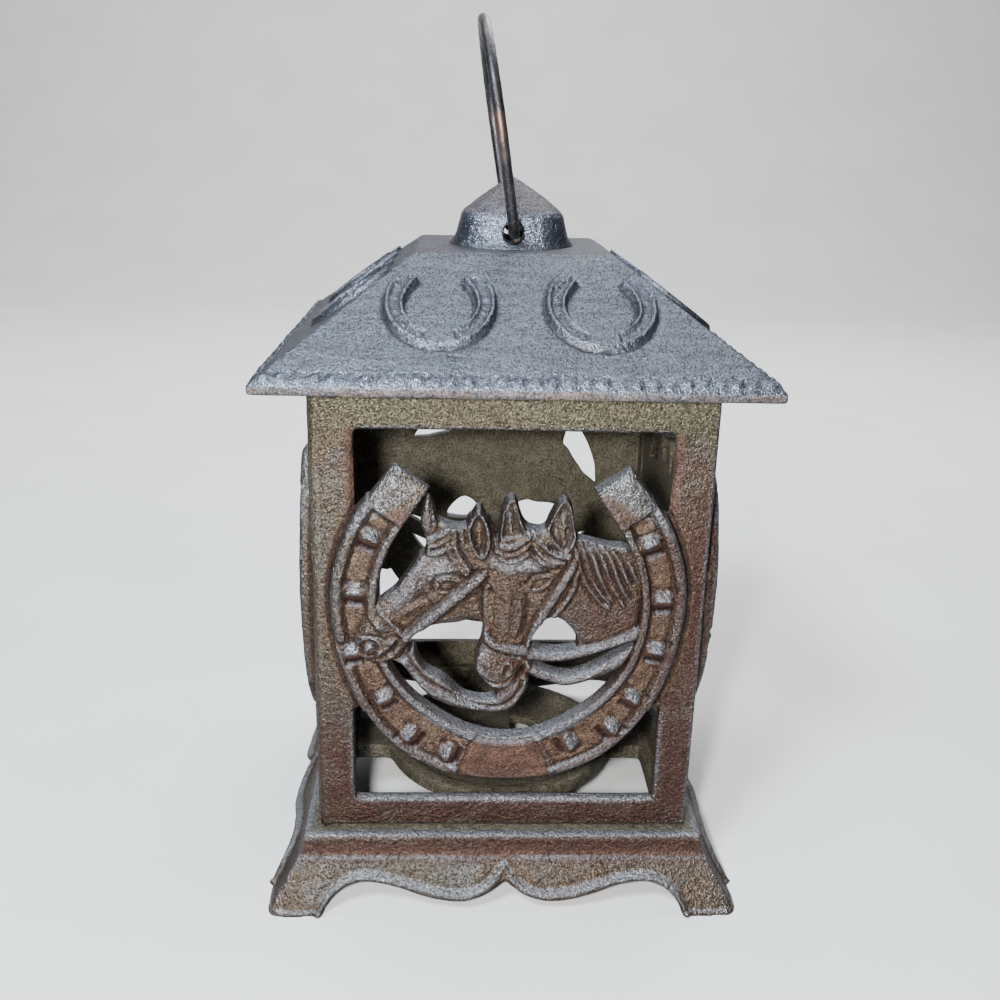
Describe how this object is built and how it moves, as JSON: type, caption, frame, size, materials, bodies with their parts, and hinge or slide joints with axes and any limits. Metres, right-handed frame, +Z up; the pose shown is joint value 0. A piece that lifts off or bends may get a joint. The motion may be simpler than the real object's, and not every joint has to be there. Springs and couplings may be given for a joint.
{
  "type": "garden lantern",
  "caption": "Square cast iron candle lantern with horse head and horseshoe grille panels, hinged door, pyramid roof, domed finial and swinging wire bail.",
  "frame": {"origin": "centre of the footprint, on the ground under the feet", "axes": "+X to the right seen from the door side, +Y from the door side to the back, +Z up"},
  "size_m": [0.161, 0.161, 0.2919],
  "materials": {
    "body_iron": "sand cast, brown patina, worn edges",
    "roof_iron": "sand cast, blue-grey sheen",
    "bail_wire": "darkened smooth wire",
    "screw_steel": "aged zinc"
  },
  "bodies": {
    "lantern": {"base": "body_iron", "back_panel": "body_iron", "left_panel": "body_iron", "right_panel": "body_iron", "roof": "roof_iron", "base_screws": "screw_steel", "roof_screws": "screw_steel"},
    "door": {"front_door": "body_iron"},
    "bail": {"bail_handle": "bail_wire"}
  },
  "joints": [
    {"name": "door_hinge", "type": "hinge", "parent": "lantern", "child": "door", "pos_m": [-0.0615, -0.0615, 0.103], "axis": [0, 0, -1], "range_deg": [0, 150]},
    {"name": "bail_swing", "type": "hinge", "parent": "lantern", "child": "bail", "pos_m": [0, 0, 0.2234], "axis": [0, 1, 0], "range_deg": [-82, 101]}
  ]
}
